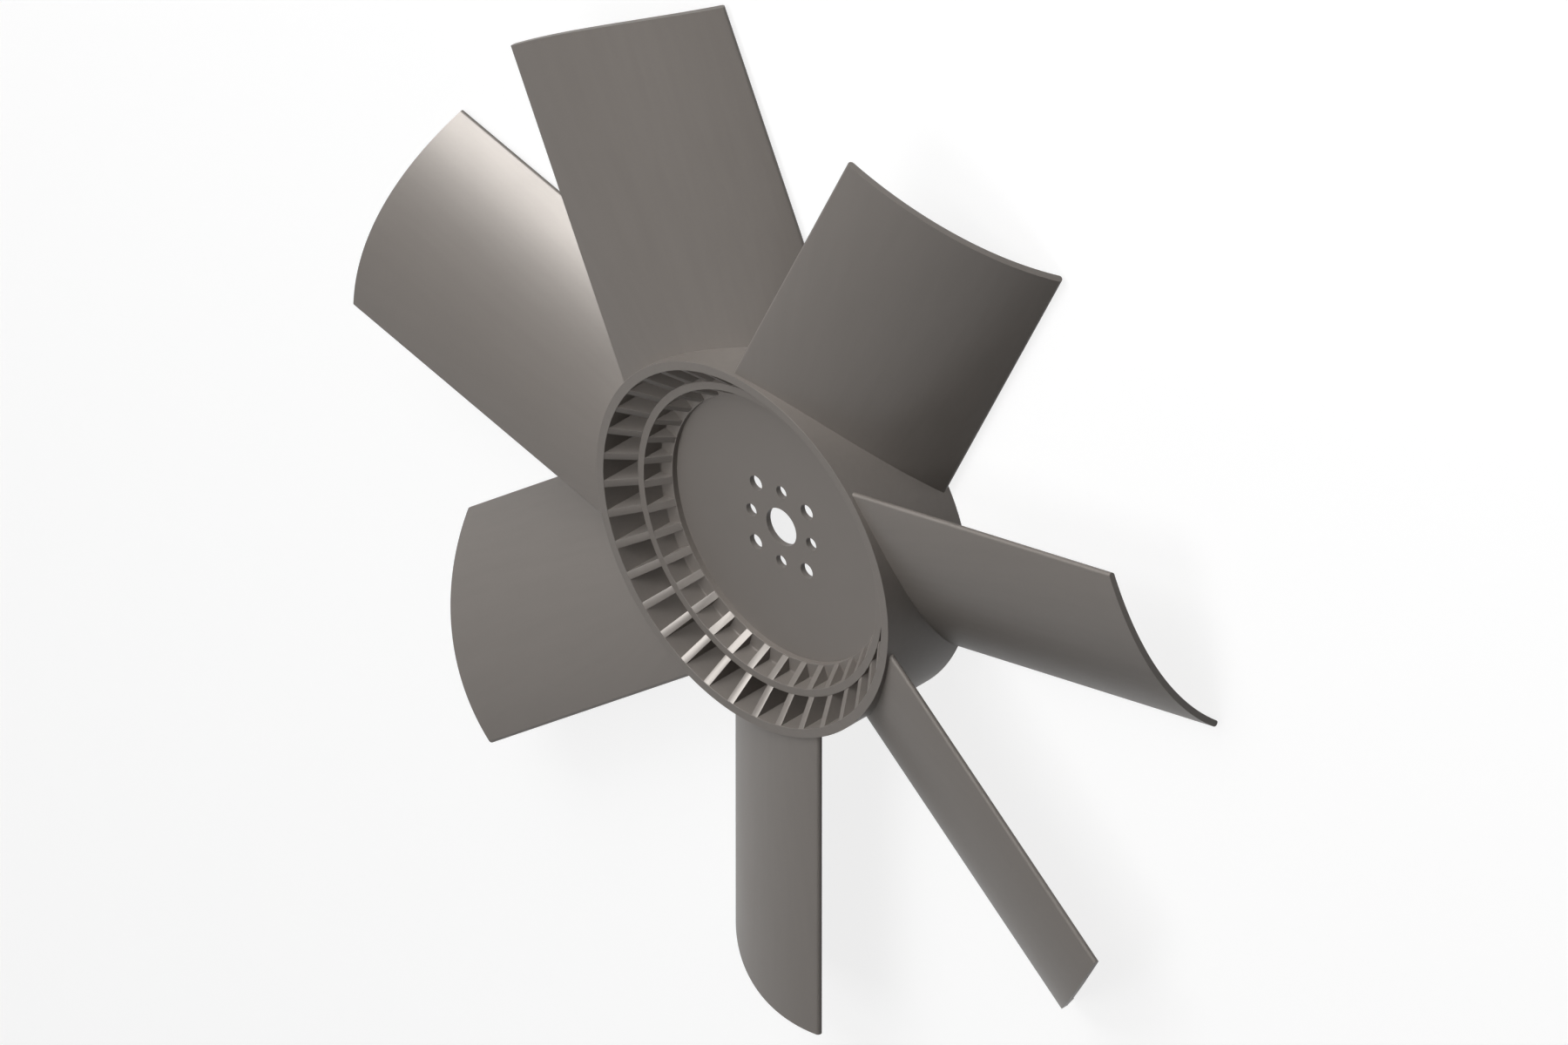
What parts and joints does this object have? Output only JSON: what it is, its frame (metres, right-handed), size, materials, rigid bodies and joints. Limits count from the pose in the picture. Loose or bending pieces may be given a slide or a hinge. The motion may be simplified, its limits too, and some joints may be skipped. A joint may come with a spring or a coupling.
{
  "type": "axial fan impeller",
  "caption": "Axial fan impeller with cambered blades on a ribbed hub ring, and a thin centre plate with a pilot bore and two bolt circles.",
  "frame": {"origin": "centre of the pilot bore on the front face of the centre plate", "axes": "+Z along the axis of rotation towards the ribbed front of the hub; one blade points along -Y"},
  "size_m": [0.6597, 0.6504, 0.0687],
  "materials": {
    "nylon": "satin moulded glass-filled nylon, warm dark grey",
    "coated_steel": "satin dark grey coating"
  },
  "bodies": {
    "root": {"moulded_impeller": "nylon", "steel_centre_plate": "coated_steel"}
  },
  "joints": []
}
